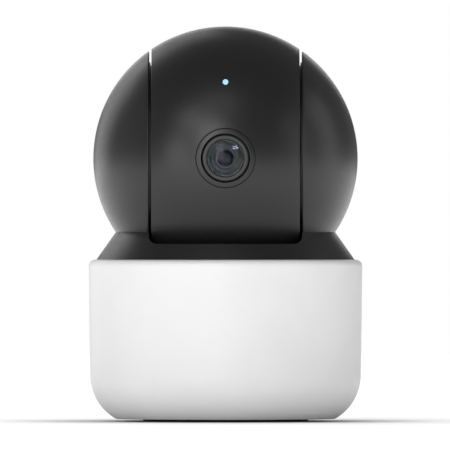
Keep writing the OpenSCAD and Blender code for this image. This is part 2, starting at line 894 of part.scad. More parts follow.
module right_bush() color(nylon) {
  at_head() translate([dish_x - dish_floor_t, 0, 0]) along_x() {
    ring(stub_bush_r, stub_r + shaft_gap, dish_floor_t);
  }
}

module tilt_motor() color(steel) {
  face_x = dish_x - dish_floor_t;
  at_head() difference() {
    union() {
      at_tilt_motor() {
        translate([face_x - tilt_motor_h, 0, 0]) along_x() {
          cylinder(h = tilt_motor_h, r = tilt_motor_r);
        }
        translate([face_x - ear_t, 0, 0]) along_x() {
          linear_extrude(ear_t) rounded_rect(4.6, 2 * tilt_ear + 4.6, 2.2);
        }
      }
      at_tilt_shaft() translate([face_x - 1, 0, 0]) along_x() cylinder(h = dish_floor_t + 0.8, r = 2.4);
    }
    at_tilt_shaft() translate([face_x - 4, 0, 0]) along_x() cylinder(h = 12, r = tilt_shaft_r + shaft_gap);
    at_tilt_ears() translate([face_x - 2, 0, 0]) along_x() cylinder(h = 4, r = screw_r + fit_gap);
  }
}

module tilt_motor_screws() color(steel) {
  at_head() at_tilt_ears() translate([dish_x - dish_floor_t - ear_t, 0, 0]) along_x() {
    screw(ear_t + dish_floor_t - 0.2);
  }
}

module tilt_pinion() color(nylon) {
  at_head() at_tilt_shaft() translate([dish_x + 1, 0, 0]) along_x() {
    rotate(180 + 180 / pinion_teeth) linear_extrude(4) gear_outline(pinion_teeth, tilt_module);
    translate([0, 0, -dish_floor_t - 4.8]) cylinder(h = dish_floor_t + 5.5, r = tilt_shaft_r);
  }
}

// ---- Lens and electronics ----

module lens_bezel() color(black_plastic) {
  at_head() difference() {
    union() {
      intersection() {
        translate([0, -head_r, 0]) along_y() cylinder(h = 4, r = bezel_r);
        sphere(r = head_r);
      }
      translate([0, -inner_ball + 1.8, 0]) along_y() cylinder(h = 1, r = bezel_r + 1.1);
    }
    translate([0, -head_r - 1, 0]) along_y() cylinder(h = 8, r = bezel_in_r);
  }
}

module lens_barrel() color(black_plastic) {
  at_head() translate([0, -barrel_front, 0]) along_y() {
    rotate_extrude() polygon([
      [glass_r + fit_gap, 0], [barrel_r - 0.2, 0], [barrel_r, 0.2], [barrel_r, 3],
      [thread_r, 3], [thread_r, 15], [3.4, 15], [3.4, 6.2], [iris_r, 5.8],
      [iris_r, 5.2], [glass_r - 0.7, 1.4], [glass_r + fit_gap, 1.4]
    ]);
  }
}

module front_lens() color([0.75, 0.8, 0.9, 0.4]) {
  edge = 0.4;
  bulge = 0.9;
  dome_r = (pow(glass_r, 2) + pow(bulge, 2)) / (2 * bulge);
  at_head() translate([0, -barrel_front, 0]) along_y() {
    intersection() {
      translate([0, 0, -2]) cylinder(h = 2 + 1.35, r = glass_r);
      translate([0, 0, edge - bulge + dome_r]) sphere(r = dome_r);
    }
  }
}

module inner_lens() color([0.6, 0.65, 0.8, 0.5]) {
  at_head() translate([0, -barrel_front, 0]) along_y() {
    intersection() {
      translate([0, 0, 6.3]) cylinder(h = 3, r = 3.35);
      translate([0, 0, 6.3 + 9]) sphere(r = 9);
    }
  }
}

module lens_holder() color(chip_black) {
  at_head() difference() {
    union() {
      box([-7.5, 7.5], [sensor_y - 3, sensor_y], [-7.5, 7.5]);
      translate([0, sensor_y - 10.5, 0]) along_y() cylinder(h = 8, r = thread_r + 1.6);
    }
    translate([0, sensor_y - 12, 0]) along_y() cylinder(h = 10, r = thread_r + shaft_gap);
    box([-4.5, 4.5], [sensor_y - 2.5, sensor_y + 1], [-4.5, 4.5]);
  }
}

module board_holes(y) {
  for (p = stack_points) translate([p[0], y - 1, p[1]]) {
    along_y() cylinder(h = 4, r = screw_r + fit_gap);
  }
}

module sensor_board() color(board_green) {
  at_head() difference() {
    box([board_left, board_right], [sensor_y, sensor_y + stack_t], [-16, 16]);
    board_holes(sensor_y);
  }
}

module image_sensor() color(chip_black) {
  at_head() box([-3.5, 3.5], [sensor_y - 0.9, sensor_y], [-3.5, 3.5]);
}

module led_pipe() color([0.6, 0.85, 1]) {
  at_head() intersection() {
    translate([0, -head_r, led_up]) along_y() cylinder(h = head_r + ir_y - 1, r = led_r);
    sphere(r = head_r);
  }
}

module status_led() color([0.6, 0.85, 1]) {
  at_head() box([-0.8, 0.8], [ir_y - 0.8, ir_y], [led_up - 0.5, led_up + 0.5]);
}

module ir_board() color(board_green) {
  at_head() difference() {
    intersection() {
      translate([0, ir_y, 0]) along_y() cylinder(h = ir_t, r = led_up + 0.9);
      box([-17, 17], [-head_r, 0], [-head_r, head_r]);
    }
    translate([0, ir_y - 1, 0]) along_y() cylinder(h = ir_t + 2, r = thread_r + 3.6);
    for (p = stack_points) translate([p[0], ir_y - 1, p[1]]) {
      along_y() cylinder(h = ir_t + 2, r = 2 + fit_gap);
    }
  }
}

module ir_leds() color([0.35, 0.2, 0.35]) {
  at_head() for (a = [0 : 90 : 270]) {
    translate([ir_led_at * cos(a), ir_y, ir_led_at * sin(a)]) {
      box([-1.75, 1.75], [-1, 0], [-1.75, 1.75]);
      intersection() {
        translate([0, -2.6, 0]) along_y() cylinder(h = 2, r = 1.5);
        translate([0, -1, 0]) sphere(r = 1.6);
      }
    }
  }
}

module spacers() color(brass) {
  at_head() for (p = stack_points) translate([p[0], sensor_y + stack_t, p[1]]) {
    along_y() ring(2, screw_r + fit_gap, main_y - sensor_y - stack_t);
  }
}

module main_board() color(board_green) {
  at_head() difference() {
    box([board_left, board_right], [main_y, main_y + stack_t], [-20, 20]);
    board_holes(main_y);
  }
}

chip_t = 1.3;
module main_chip() color(chip_black) {
  at_head() box([-8, 5], [main_y + stack_t, main_y + stack_t + chip_t], [-6.5, 6.5]);
}

module heat_spreader() color(steel) {
  back = main_y + stack_t + chip_t;
  at_head() {
    box([-12, 9], [back, back + 1], [-9.5, 9.5]);
    for (i = [-2 : 2]) box([-12, 9], [back + 0.9, back + 3], [i * 4 - 0.5, i * 4 + 0.5]);
  }
}

module stack_screws() color(steel) {
  at_head() for (p = stack_points) translate([p[0], main_y + stack_t, p[1]]) {
    rotate([90, 0, 0]) screw(main_y + stack_t - sensor_y + 7);
  }
}

module wifi_antenna() color([0.75, 0.55, 0.25]) {
  at_head() intersection() {
    difference() {
      sphere(r = inner_ball - 0.05);
      sphere(r = inner_ball - 0.45);
    }
    box([-11, 11], [shell_split + 6, head_r], [14, 22]);
  }
}

base_shell();
bottom_cover();
foot_ring();
tripod_insert();
cover_screws();
pan_deck();
deck_screws();
pan_bush();
pan_motor();
pan_motor_screws();
base_board();
board_screws();
usb_socket();
card_socket();
reset_switch();
speaker();
speaker_gasket();
base_lead();
reset_button();
memory_card();
pan_pinion();
pan_shaft();
collar();
pan_gear();
gear_screws();
spindle_clip();
left_arm();
right_arm();
arm_screws();
left_cheek();
right_cheek();
left_bush();
tilt_gear();
flex_cable();
front_shell();
rear_shell();
left_plate();
right_plate();
right_bush();
tilt_motor();
tilt_motor_screws();
tilt_pinion();
lens_bezel();
lens_barrel();
front_lens();
inner_lens();
lens_holder();
sensor_board();
image_sensor();
led_pipe();
status_led();
ir_board();
ir_leds();
spacers();
main_board();
main_chip();
heat_spreader();
stack_screws();
wifi_antenna();
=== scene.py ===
"""Looks of an indoor pan-and-tilt security camera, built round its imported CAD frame.

The big shells, the lens and the fittings that show are remade here as smooth meshes with rounded edges, from
the sizes of the CAD nodes that they stand for. Every other CAD node stays and gets a material. Metres, +Z up.
"""

import json
import math

import bmesh
import bpy
from mathutils import Matrix, Vector


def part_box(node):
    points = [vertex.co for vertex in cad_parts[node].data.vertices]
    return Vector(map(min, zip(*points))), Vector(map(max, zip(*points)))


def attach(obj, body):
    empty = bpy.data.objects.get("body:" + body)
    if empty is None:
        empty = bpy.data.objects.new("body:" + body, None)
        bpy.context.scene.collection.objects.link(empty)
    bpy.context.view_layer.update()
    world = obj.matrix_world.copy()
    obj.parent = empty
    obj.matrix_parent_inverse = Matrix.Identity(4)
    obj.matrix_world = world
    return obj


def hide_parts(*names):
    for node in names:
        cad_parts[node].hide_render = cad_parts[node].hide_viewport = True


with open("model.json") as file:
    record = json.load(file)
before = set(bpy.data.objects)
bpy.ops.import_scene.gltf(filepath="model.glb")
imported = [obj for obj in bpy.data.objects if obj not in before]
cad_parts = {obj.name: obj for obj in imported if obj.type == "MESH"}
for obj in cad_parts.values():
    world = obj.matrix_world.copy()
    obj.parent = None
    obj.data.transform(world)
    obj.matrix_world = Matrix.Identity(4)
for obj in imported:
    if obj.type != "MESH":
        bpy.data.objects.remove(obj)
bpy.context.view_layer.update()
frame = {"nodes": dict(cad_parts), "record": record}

MM = 0.001
SEGMENTS = 192

# ---- Sizes, read from the CAD nodes ----


def low(node):
    return Vector(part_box(node)[0])


def high(node):
    return Vector(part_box(node)[1])


BALL_R = (high("front_shell").z - low("front_shell").z) / 2
HEAD = Vector((0, 0, (high("front_shell").z + low("front_shell").z) / 2))
DRUM_X = high("front_shell").x
SPLIT_Y = high("front_shell").y
CHEEK_X = low("right_cheek").x
NECK_Z = high("collar").z
COLLAR_R = high("collar").x
BASE_R = high("base_shell").x
BASE_TOP = high("base_shell").z
BASE_LOW = low("base_shell").z
BOARD_GAP = 4.8 * MM
COVER_TOP = low("base_board").z - BOARD_GAP
COVER_R = high("bottom_cover").x
SHELL_T = 1.8 * MM
WALL_T = 1.9 * MM
BEZEL_R = 8.35 * MM
BEZEL_IN_R = 6.95 * MM
LED_UP = (high("led_pipe").z + low("led_pipe").z) / 2 - HEAD.z
LED_R = high("led_pipe").x
INNER_BALL = BALL_R - SHELL_T
EDGE = 0.22 * MM
FINE_EDGE = 0.12 * MM
SHARP_ANGLE = 40

# ---- Mesh tools ----


def new_object(name, mesh):
    obj = bpy.data.objects.new(name, mesh)
    bpy.context.scene.collection.objects.link(obj)
    return obj


def mesh_from(name, verts, faces):
    mesh = bpy.data.meshes.new(name)
    mesh.from_pydata(verts, [], faces)
    mesh.validate()
    bm = bmesh.new()
    bm.from_mesh(mesh)
    bmesh.ops.recalc_face_normals(bm, faces=bm.faces)
    bm.to_mesh(mesh)
    bm.free()
    return mesh


def rounded(corners, steps=5):
    """A closed outline whose corners (along, out, fillet) are rounded by their fillet radius."""
    outline = []
    count = len(corners)
    for i, corner in enumerate(corners):
        point = Vector(corner[:2])
        fillet = corner[2] if len(corner) > 2 else 0
        before = Vector(corners[i - 1][:2]) - point
        after = Vector(corners[(i + 1) % count][:2]) - point
        if fillet <= 0:
            outline.append(tuple(point))
            continue
        before_dir, after_dir = before.normalized(), after.normalized()
        half = math.acos(max(-1, min(1, before_dir.dot(after_dir)))) / 2
        reach = min(fillet / math.tan(half), before.length * 0.49, after.length * 0.49)
        radius = reach * math.tan(half)
        middle = point + (before_dir + after_dir).normalized() * (radius / math.sin(half))
        first = point + before_dir * reach - middle
        last = point + after_dir * reach - middle
        turn = first.angle_signed(last)
        for k in range(steps + 1):
            a = -turn * k / steps
            spoke = Vector((
                first.x * math.cos(a) - first.y * math.sin(a),
                first.x * math.sin(a) + first.y * math.cos(a),
            ))
            outline.append(tuple(middle + spoke))
    return outline


def placed(axis, along, out, angle):
    """A point at a height along an axis and a distance out from it."""
    u, v = out * math.cos(angle), out * math.sin(angle)
    return {"X": (along, u, v), "Y": (v, along, u), "Z": (u, v, along)}[axis]


def lathe(name, outline, axis="Z", centre=(0, 0, 0), segments=SEGMENTS):
    """A closed outline of (along, out) points turned once about an axis."""
    verts, faces, rings = [], [], []
    origin = Vector(centre)
    for along, out in outline:
        if out < 1e-7:
            rings.append([len(verts)] * segments)
            verts.append(origin + Vector(placed(axis, along, 0, 0)))
            continue
        rings.append(list(range(len(verts), len(verts) + segments)))
        for k in range(segments):
            verts.append(origin + Vector(placed(axis, along, out, 2 * math.pi * k / segments)))
    for i, ring in enumerate(rings):
        other = rings[(i + 1) % len(rings)]
        if ring[0] == ring[1] and other[0] == other[1]:
            continue
        for k in range(segments):
            n = (k + 1) % segments
            face = [ring[k], ring[n], other[n], other[k]]
            faces.append(list(dict.fromkeys(face)))
    return new_object(name, mesh_from(name, verts, faces))


def block(name, low_corner, high_corner):
    """A box between two corners, used as a cutter or fused into a shell."""
    lo, hi = Vector(low_corner), Vector(high_corner)
    verts = [(x, y, z) for x in (lo.x, hi.x) for y in (lo.y, hi.y) for z in (lo.z, hi.z)]
    faces = [(0, 1, 3, 2), (4, 6, 7, 5), (0, 4, 5, 1), (2, 3, 7, 6), (0, 2, 6, 4), (1, 5, 7, 3)]
    return new_object(name, mesh_from(name, verts, faces))


def rounded_rectangle(width, height, radius, steps=6):
    w, h = width / 2, height / 2
    return rounded([(-w, -h, radius), (w, -h, radius), (w, h, radius), (-w, h, radius)], steps)


def prism(name, outline, start, end, centre):
    """An outline in X and Z, extruded along Y."""
    verts, count = [], len(outline)
    for along in (start, end):
        for a, b in outline:
            verts.append(Vector(centre) + Vector((a, along, b)))
    faces = [list(range(count)), list(range(count, 2 * count))]
    for i in range(count):
        n = (i + 1) % count
        faces.append([i, n, n + count, i + count])
    return new_object(name, mesh_from(name, verts, faces))


def combine(obj, others, operation):
    """Cuts the other objects from obj, or joins them to it, and removes them."""
    for other in others:
        modifier = obj.modifiers.new(operation, "BOOLEAN")
        modifier.operation = operation
        modifier.solver = "EXACT"
        modifier.object = other
        depsgraph = bpy.context.evaluated_depsgraph_get()
        made = bpy.data.meshes.new_from_object(obj.evaluated_get(depsgraph))
        obj.modifiers.clear()
        old = obj.data
        obj.data = made
        made.name = obj.name
        bpy.data.meshes.remove(old)
        bpy.data.objects.remove(other)


def gather(obj, other):
    """Adds another object's mesh to obj as it is, and removes the other."""
    bm = bmesh.new()
    bm.from_mesh(obj.data)
    bm.from_mesh(other.data)
    bm.to_mesh(obj.data)
    bm.free()
    bpy.data.objects.remove(other)


def cut(obj, *others):
    combine(obj, others, "DIFFERENCE")


def fuse(obj, *others):
    combine(obj, others, "UNION")


def keep(obj, other):
    combine(obj, (other,), "INTERSECT")


def smooth(obj, angle=SHARP_ANGLE, bevel=0):
    """Smooth shading with sharp edges past an angle, and a fine bevel on those edges if asked."""
    mesh = obj.data
    mesh.shade_smooth()
    mesh.set_sharp_from_angle(angle=math.radians(angle))
    if bevel:
        modifier = obj.modifiers.new("edges", "BEVEL")
        modifier.width = bevel
        modifier.segments = 2
        modifier.limit_method = "ANGLE"
        modifier.angle_limit = math.radians(angle)
        modifier.harden_normals = True
    else:
        modifier = obj.modifiers.new("normals", "WEIGHTED_NORMAL")
        modifier.keep_sharp = True


# ---- Materials ----


class Nodes:
    """Short calls for building a material's node tree."""

    def __init__(self, name, colour, roughness, **sockets):
        self.material = bpy.data.materials.new(name)
        self.material.use_nodes = True
        self.tree = self.material.node_tree
        self.shader = self.tree.nodes["Principled BSDF"]
        self.coords = self.add("ShaderNodeTexCoord").outputs["Object"]
        self.set("Base Color", (*colour, 1))
        self.set("Roughness", roughness)
        for socket, value in sockets.items():
            self.set(socket.replace("_", " "), value)

    def add(self, kind, **values):
        node = self.tree.nodes.new(kind)
        for name, value in values.items():
            if name in node.inputs:
                node.inputs[name].default_value = value
            else:
                setattr(node, name, value)
        return node

    def link(self, a, b):
        self.tree.links.new(a, b)

    def set(self, socket, value):
        self.shader.inputs[socket].default_value = value

    def noise(self, scale, detail=2, rough=0.5, stretch=None):
        node = self.add("ShaderNodeTexNoise", Scale=scale, Detail=detail, Roughness=rough)
        coords = self.coords
        if stretch:
            mapping = self.add("ShaderNodeMapping")
            mapping.inputs["Scale"].default_value = stretch
            self.link(coords, mapping.inputs["Vector"])
            coords = mapping.outputs["Vector"]
        self.link(coords, node.inputs["Vector"])
        return node.outputs["Fac"]

    def spread(self, value, low_value, high_value, start=0.35, end=0.65):
        """A 0 to 1 texture value spread between two numbers."""
        node = self.add("ShaderNodeMapRange")
        for socket, number in zip(
            ("From Min", "From Max", "To Min", "To Max"), (start, end, low_value, high_value), strict=True
        ):
            node.inputs[socket].default_value = number
        self.link(value, node.inputs["Value"])
        return node.outputs["Result"]

    def blend(self, factor, first, second):
        node = self.add("ShaderNodeMix", data_type="RGBA")
        self.link(factor, node.inputs[0])
        for slot, colour in ((6, first), (7, second)):
            if isinstance(colour, tuple):
                node.inputs[slot].default_value = (*colour[:3], 1)
            else:
                self.link(colour, node.inputs[slot])
        return node.outputs[2]

    def colour(self, output):
        self.link(output, self.shader.inputs["Base Color"])

    def roughness(self, output):
        self.link(output, self.shader.inputs["Roughness"])

    def bump(self, height, distance, strength=1.0):
        node = self.add("ShaderNodeBump", Strength=strength, Distance=distance)
        self.link(height, node.inputs["Height"])
        previous = self.shader.inputs["Normal"]
        if previous.is_linked:
            self.link(previous.links[0].from_socket, node.inputs["Normal"])
        self.link(node.outputs["Normal"], previous)

    def edges(self, radius):
        """1 on edges and corners, 0 on broad faces."""
        bevel = self.add("ShaderNodeBevel", samples=4, Radius=radius)
        geometry = self.add("ShaderNodeNewGeometry")
        dot = self.add("ShaderNodeVectorMath", operation="DOT_PRODUCT")
        self.link(bevel.outputs["Normal"], dot.inputs[0])
        self.link(geometry.outputs["Normal"], dot.inputs[1])
        sharp, flat = 0.8, 0.98
        return self.spread(dot.outputs["Value"], 1, 0, sharp, flat)


def shade(colour, factor):
    """The colour made lighter or darker, kept at 1 or below."""
    return tuple(min(1, c * factor) for c in colour)


def moulded_plastic(name, colour, roughness, grain, depth, wear, **sockets):
    """Moulded plastic with a fine spark-eroded grain, slight mottling and polished edges.

    Grain and depth are in millimetres, and wear is how much lighter a worn edge is.
    """
    n = Nodes(name, colour, roughness, **sockets)
    edge_share = 0.35
    mottle = n.noise(60, 3)
    dust = n.noise(900, 4, 0.7)
    tone = n.blend(n.spread(mottle, 0, 1), shade(colour, 0.985), shade(colour, 1.015))
    tone = n.blend(n.spread(dust, 0, 0.12, 0.55, 0.8), tone, shade(colour, wear))
    edge = n.edges(0.25 * MM)
    scaled = n.add("ShaderNodeMath", operation="MULTIPLY")
    scaled.inputs[1].default_value = edge_share
    n.link(edge, scaled.inputs[0])
    n.colour(n.blend(scaled.outputs[0], tone, shade(colour, wear)))
    grain_height = n.noise(1 / (grain * MM), 2, 0.55)
    n.bump(grain_height, depth * MM)
    n.bump(mottle, 0.01 * MM, 0.1)
    n.roughness(n.spread(dust, roughness - 0.03, roughness + 0.05, 0.3, 0.7))
    return n.material


def rubber(name, colour):
    """Matt rubber with a powdery bloom."""
    n = Nodes(name, colour, 0.8)
    powder = n.noise(700, 5, 0.65)
    n.colour(n.blend(n.spread(powder, 0, 1, 0.4, 0.8), colour, shade(colour, 1.9)))
    n.roughness(n.spread(powder, 0.72, 0.9))
    n.bump(n.noise(2600, 3), 0.02 * MM)
    return n.material


def metal(name, colour, roughness, stretch=(1, 1, 1)):
    """Metal with fine machining lines, tarnish and worn edges."""
    n = Nodes(name, colour, roughness, Metallic=1.0)
    tarnish = n.noise(110, 4, 0.6)
    lines = n.noise(900, 3, 0.6, stretch)
    tone = n.blend(n.spread(tarnish, 0, 1), shade(colour, 0.82), shade(colour, 1.06))
    n.colour(n.blend(n.edges(0.15 * MM), tone, shade(colour, 1.25)))
    n.roughness(n.spread(lines, roughness - 0.08, roughness + 0.12))
    n.bump(lines, 0.004 * MM)
    return n.material


def anodised(name, colour):
    """Black anodised metal with a fine blasted speckle."""
    n = Nodes(name, colour, 0.38)
    speck = n.noise(1500, 3)
    n.colour(n.blend(n.spread(speck, 0, 1), shade(colour, 0.8), shade(colour, 1.3)))
    n.roughness(n.spread(speck, 0.32, 0.46))
    n.bump(n.noise(3500, 2), 0.003 * MM)
    return n.material


def circuit_board(name, mask_colour):
    """Solder mask with copper traces showing faintly under it, and tinned pads."""
    tin = (0.65, 0.6, 0.45)
    n = Nodes(name, mask_colour, 0.35, Coat_Weight=0.5, Coat_Roughness=0.15)
    cells = n.add("ShaderNodeTexVoronoi", feature="DISTANCE_TO_EDGE", distance="CHEBYCHEV", Scale=650)
    n.link(n.coords, cells.inputs["Vector"])
    traces = n.spread(cells.outputs["Distance"], 1, 0, 0.04, 0.09)
    pads = n.add("ShaderNodeTexVoronoi", feature="F1", Scale=380)
    n.link(n.coords, pads.inputs["Vector"])
    dots = n.spread(pads.outputs["Distance"], 1, 0, 0.08, 0.1)
    tone = n.blend(traces, mask_colour, shade(mask_colour, 1.8))
    n.colour(n.blend(dots, tone, tin))
    n.bump(traces, 0.02 * MM)
    n.roughness(n.spread(n.noise(400), 0.28, 0.42))
    return n.material


def epoxy(name, colour):
    """Moulded chip packages with a faint sandy surface."""
    n = Nodes(name, colour, 0.55)
    sand = n.noise(2200, 4, 0.7)
    n.colour(n.blend(n.spread(sand, 0, 1), shade(colour, 0.8), shade(colour, 1.5)))
    n.roughness(n.spread(sand, 0.45, 0.65))
    n.bump(sand, 0.01 * MM)
    return n.material


def film(name, colour):
    """Polyimide film with fine conductors running along it."""
    copper = (0.72, 0.36, 0.16)
    n = Nodes(name, colour, 0.3)
    wave = n.add("ShaderNodeTexWave", wave_type="BANDS", bands_direction="Y", Scale=320)
    n.link(n.coords, wave.inputs["Vector"])
    tracks = n.spread(wave.outputs["Fac"], 0, 1, 0.45, 0.6)
    tone = n.blend(tracks, colour, copper)
    n.colour(n.blend(n.spread(n.noise(250), 0, 0.3), tone, shade(colour, 0.6)))
    n.bump(tracks, 0.02 * MM)
    n.roughness(n.spread(n.noise(900), 0.24, 0.4))
    return n.material


def coated_glass(name, tint, coat_tint, film_nm):
    """Optical glass with an anti-reflection coating that dims its glints to the coat's tint."""
    crown_ior, coat_ior = 1.52, 1.38
    n = Nodes(name, tint, 0.02, Transmission_Weight=1.0, IOR=crown_ior)
    n.set("Thin Film Thickness", film_nm)
    n.set("Thin Film IOR", coat_ior)
    n.set("Specular Tint", (*coat_tint, 1))
    smear = n.noise(220, 4, 0.6)
    n.roughness(n.spread(smear, 0.012, 0.03))
    return n.material


def lit_guide(name, colour, strength):
    """A frosted light guide that glows with the light behind it."""
    n = Nodes(name, colour, 0.25)
    speck = n.noise(2500, 2)
    n.colour(n.blend(n.spread(speck, 0, 1), colour, shade(colour, 1.2)))
    n.roughness(n.spread(speck, 0.2, 0.35))
    n.set("Emission Color", (*colour, 1))
    n.set("Emission Strength", strength)
    return n.material


MATERIALS = {
    "white_plastic": moulded_plastic("white_plastic", (0.85, 0.85, 0.85), 0.42, 0.25, 0.003, 1.05),
    "black_plastic": moulded_plastic("black_plastic", (0.010, 0.010, 0.0105), 0.33, 0.2, 0.004, 2.2),
    "lens_metal": anodised("lens_metal", (0.02, 0.02, 0.021)),
    "chassis_plastic": moulded_plastic("chassis_plastic", (0.12, 0.125, 0.13), 0.5, 0.3, 0.006, 1.3),
    "nylon": moulded_plastic("nylon", (0.72, 0.7, 0.6), 0.45, 0.4, 0.004, 1.1, Subsurface_Weight=0.1),
    "rubber": rubber("rubber", (0.025, 0.025, 0.026)),
    "brass": metal("brass", (0.72, 0.5, 0.2), 0.3),
    "steel": metal("steel", (0.55, 0.56, 0.58), 0.32),
    "aluminium": metal("aluminium", (0.74, 0.75, 0.76), 0.36, (1, 8, 1)),
    "circuit_board": circuit_board("circuit_board", (0.015, 0.11, 0.05)),
    "component_black": epoxy("component_black", (0.02, 0.02, 0.022)),
    "cable_film": film("cable_film", (0.55, 0.27, 0.06)),
    "lens_glass": coated_glass("lens_glass", (0.9, 0.98, 0.92), (0.12, 0.11, 0.14), 0),
    "lens_cone": moulded_plastic("lens_cone", (0.068, 0.074, 0.07), 0.38, 0.15, 0.002, 1.2),
    "pupil_glass": coated_glass("pupil_glass", (0.8, 0.78, 0.86), (0.5, 0.42, 0.6), 240),
    "light_guide": lit_guide("light_guide", (0.34, 0.64, 0.9), 0.38),
}


def dress(obj, slot, body=None, *nodes):
    """Gives a piece its material and, for a piece made here, parents it to its body and hides the CAD nodes
    it stands for.
    """
    obj.data.materials.clear()
    obj.data.materials.append(MATERIALS[slot])
    if body:
        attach(obj, body)
        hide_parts(*nodes)
    return obj


# ---- Shells of the head ----


def sphere_arc(radius, along_start, along_end, count):
    """Points of a ball's outline between two heights along its axis."""
    first = math.degrees(math.acos(max(-1, min(1, along_start / radius))))
    last = math.degrees(math.acos(max(-1, min(1, along_end / radius))))
    points = []
    for i in range(count + 1):
        a = math.radians(first + (last - first) * i / count)
        points.append((radius * math.cos(a), radius * math.sin(a)))
    return points


def out_at(radius, along):
    """How far out a ball's surface is at a height along its axis."""
    return math.sqrt(radius**2 - along**2)


def cheek(side):
    """The ball's side cap, hollow, with a rounded rim at the slot."""
    name = f"{side}_cheek_shell"
    inner_x, outer_x = CHEEK_X + 0.5 * MM, CHEEK_X + 0.8 * MM
    outer = sphere_arc(BALL_R, outer_x, BALL_R, 48)
    inner = sphere_arc(INNER_BALL, INNER_BALL, inner_x, 40)
    rim = rounded([
        (inner_x, out_at(INNER_BALL, inner_x)),
        (CHEEK_X, out_at(INNER_BALL, CHEEK_X)),
        (CHEEK_X, out_at(BALL_R, CHEEK_X), EDGE),
        (outer_x, out_at(BALL_R, outer_x)),
    ])
    outline = outer[1:] + inner[:-1] + rim
    flip = -1 if side == "left" else 1
    obj = lathe(name, [(flip * a, r) for a, r in outline], "X", HEAD)
    reach = 2 * BALL_R
    cut(obj, block("under", (-reach, -reach, -reach), (reach, reach, NECK_Z)))
    smooth(obj)
    return dress(obj, "black_plastic", "yoke", f"{side}_cheek")


def drum_outline():
    """The drum's shell about the tilt axis, with rounded rims at both slots and a seat for each plate."""
    seat_x, seat_t, seat_r = DRUM_X - 3.1 * MM, 1.2 * MM, INNER_BALL - 7.4 * MM
    step = 0.8 * MM
    outer = sphere_arc(BALL_R, -DRUM_X + step, DRUM_X - step, 72)
    inner = sphere_arc(INNER_BALL, seat_x - 0.3 * MM, -seat_x + 0.3 * MM, 40)

    def rim(s):
        corners = [
            (s * (DRUM_X - step), out_at(BALL_R, DRUM_X - step)),
            (s * DRUM_X, out_at(BALL_R, DRUM_X), EDGE),
            (s * DRUM_X, out_at(INNER_BALL, DRUM_X), EDGE),
            (s * (seat_x + seat_t), out_at(INNER_BALL, seat_x + seat_t), EDGE),
            (s * (seat_x + seat_t), seat_r, EDGE),
            (s * seat_x, seat_r, EDGE),
            (s * seat_x, out_at(INNER_BALL, seat_x)),
        ]
        return rounded(corners, 4)[1:]

    return outer + rim(1) + inner + rim(-1)[::-1]


def drum_half(name, front):
    """The drum's shell, cut at the parting line behind the tilt axis."""
    obj = lathe(name, drum_outline(), "X", HEAD, 288)
    reach, gap = 4 * BALL_R, 0.05 * MM
    if front:
        away = block("away", (-reach, SPLIT_Y, -reach), (reach, reach, reach))
    else:
        away = block("away", (-reach, -reach, -reach), (reach, SPLIT_Y + gap, reach))
    cut(obj, away)
    return obj


def front_shell():
    """The drum's front, with a hole for the light guide and a chamfered one for the lens ring."""
    obj = drum_half("drum_front", True)
    hole_r = BEZEL_R + 0.1 * MM
    face = -out_at(BALL_R, hole_r)
    deep, ahead, chamfer = face + 8 * MM, 3 * MM, 0.12 * MM
    outline = [
        (face - ahead, 0), (face - ahead, hole_r + ahead + chamfer), (face + chamfer, hole_r),
        (deep, hole_r), (deep, 0),
    ]
    lens_hole = lathe("lens_hole", outline, "Y", HEAD, 144)
    led_hole_r, led_end = LED_R + 0.05 * MM, -20 * MM
    outline = [(-BALL_R, 0), (-BALL_R, led_hole_r), (led_end, led_hole_r), (led_end, 0)]
    led_hole = lathe("led_hole", outline, "Y", HEAD + Vector((0, 0, LED_UP)), 48)
    cut(obj, lens_hole, led_hole)
    smooth(obj)
    return dress(obj, "black_plastic", "drum", "front_shell")


def rear_shell():
    obj = drum_half("drum_rear", False)
    smooth(obj)
    return dress(obj, "black_plastic", "drum", "rear_shell")


def collar():
    """The flared collar with its floor, hollow spindle and the notch that the drum looks out of."""
    floor_low, floor_t, lip = low("pan_gear").z + 5.3 * MM, 2 * MM, 1.9 * MM
    floor_top = floor_low + floor_t
    spindle_low, spindle_r, bore_r = low("collar").z, 7.5 * MM, 5.3 * MM
    neck_r = out_at(BALL_R, HEAD.z - NECK_Z)
    mouth = BASE_TOP
    fine = 0.15 * MM
    outline = rounded(
        [
            (spindle_low, bore_r, fine), (spindle_low, spindle_r, fine), (floor_low, spindle_r, 0.5 * MM),
            (floor_low, COLLAR_R, 0.4 * MM), (mouth, COLLAR_R, 0.3 * MM), (NECK_Z, neck_r, 0.03 * MM),
            (NECK_Z, neck_r - lip, fine), (NECK_Z - 1.3 * MM, neck_r - lip, fine),
            (mouth - 0.8 * MM, COLLAR_R - WALL_T, 0.5 * MM), (floor_top, COLLAR_R - WALL_T, 0.5 * MM),
            (floor_top, bore_r, fine),
        ],
        4,
    )
    obj = lathe("collar_shell", outline)
    notch_z, tall = NECK_Z - 3.3 * MM, 30 * MM
    notch_outline = rounded_rectangle(2 * CHEEK_X, tall, 2.3 * MM, 10)
    middle = (0, 0, notch_z + tall / 2)
    reach = 2 * BASE_R
    cut(obj, prism("notch", notch_outline, -reach, reach, middle))
    # Ledge that closes the notch round the ball, in front and behind
    clear_r, ledge_t, ledge_out = BALL_R + 0.4 * MM, 1.8 * MM, neck_r + 0.2 * MM
    top, bottom = notch_z - 0.02 * MM, notch_z - ledge_t
    corners = [(z, out_at(clear_r, HEAD.z - z), fine) for z in (top, bottom)]
    ledge = lathe("ledge", rounded([*corners, (bottom, ledge_out), (top, ledge_out)], 3))
    half = CHEEK_X + 1 * MM
    keep(ledge, block("slice", (-half, -reach, 0), (half, reach, 1)))
    gather(obj, ledge)
    smooth(obj, bevel=FINE_EDGE)
    return dress(obj, "black_plastic", "yoke", "collar")


# ---- Lens ----


